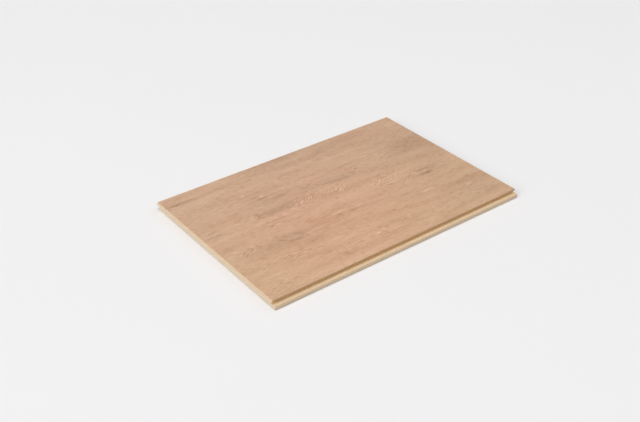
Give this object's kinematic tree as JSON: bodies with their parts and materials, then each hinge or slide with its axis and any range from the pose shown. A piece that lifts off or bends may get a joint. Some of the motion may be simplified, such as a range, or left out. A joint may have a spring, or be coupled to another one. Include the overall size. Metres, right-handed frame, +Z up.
{
  "type": "laminate floor sample",
  "caption": "Flat rectangular sample of click-lock laminate flooring with an oak-grain decor face, a groove and lower lip along one long edge and a tongue along the other.",
  "frame": {"origin": "on the underside, below the centre of the decor face", "axes": "+X along the grain, from one saw-cut end to the other; +Y across the plank, from the groove side to the tongue side; +Z up, out of the decor face"},
  "size_m": [0.285, 0.195, 0.008],
  "materials": {
    "hdf": "matte",
    "oak_decor": "satin"
  },
  "bodies": {
    "root": {"hdf_core": "hdf", "decor_layer": "oak_decor"}
  },
  "joints": []
}
